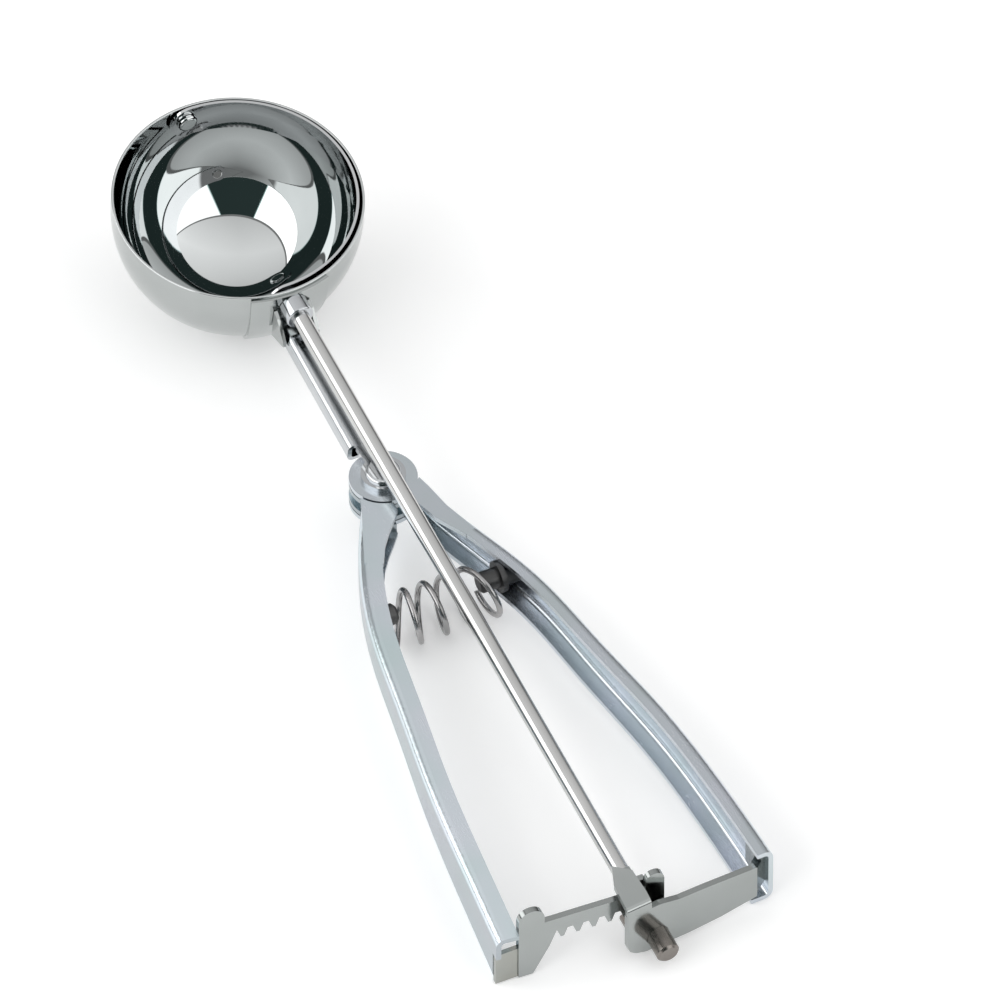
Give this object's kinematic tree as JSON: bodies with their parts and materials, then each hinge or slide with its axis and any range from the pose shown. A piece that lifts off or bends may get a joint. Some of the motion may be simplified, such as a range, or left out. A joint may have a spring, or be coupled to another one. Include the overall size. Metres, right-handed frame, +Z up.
{
  "type": "squeeze-handle ice cream scoop",
  "caption": "Squeeze-handle ice cream scoop: round steel bowl with a sweeping scraper strip, driven by a rack and pinion between two sprung levers.",
  "frame": {"origin": "centre of the bowl's rim, on the rim's flat edge", "axes": "+Z up, square to the flat upper faces of the two levers; +Y from the handle towards the bowl; +X towards the lever that carries the stirrup"},
  "size_m": [0.0658, 0.2495, 0.0355],
  "materials": {
    "polished_steel": "mirror polished stainless steel",
    "satin_steel": "satin chromed pressed steel",
    "dark_steel": "plain dull cast and drawn steel",
    "spring_steel": "dark drawn spring wire"
  },
  "bodies": {
    "bowl_and_right_lever": {"bowl": "polished_steel", "bowl_rivet": "polished_steel", "saddle_plate": "satin_steel", "rod_bush": "polished_steel", "neck": "polished_steel", "hub_pin": "satin_steel", "hub_sleeve": "dark_steel", "right_lever": "satin_steel", "stirrup": "satin_steel", "right_spring_seat": "dark_steel", "spring": "spring_steel"},
    "left_handle": {"left_lever": "satin_steel", "left_end_cap": "satin_steel", "rack_bar": "satin_steel", "left_spring_seat": "dark_steel"},
    "rod_and_scraper": {"drive_rod": "polished_steel", "pinion": "dark_steel", "scraper": "polished_steel"}
  },
  "joints": [
    {"name": "squeeze", "type": "hinge", "parent": "bowl_and_right_lever", "child": "left_handle", "pos_m": [0, -0.0748, -0.021], "axis": [0, 0, 1], "range_deg": [0, 6.17], "stiffness_Nm_per_rad": 4, "springref_deg": -3.44, "deforming": ["spring"]},
    {"name": "scraper_turn", "type": "hinge", "parent": "bowl_and_right_lever", "child": "rod_and_scraper", "pos_m": [0, 0.00042, -0.00398], "axis": [0, 0.9943, 0.1063], "range_deg": [0, 176.2]}
  ],
  "couplings": [
    {"joint": "scraper_turn", "follows": "squeeze", "ratio": 28.523}
  ]
}
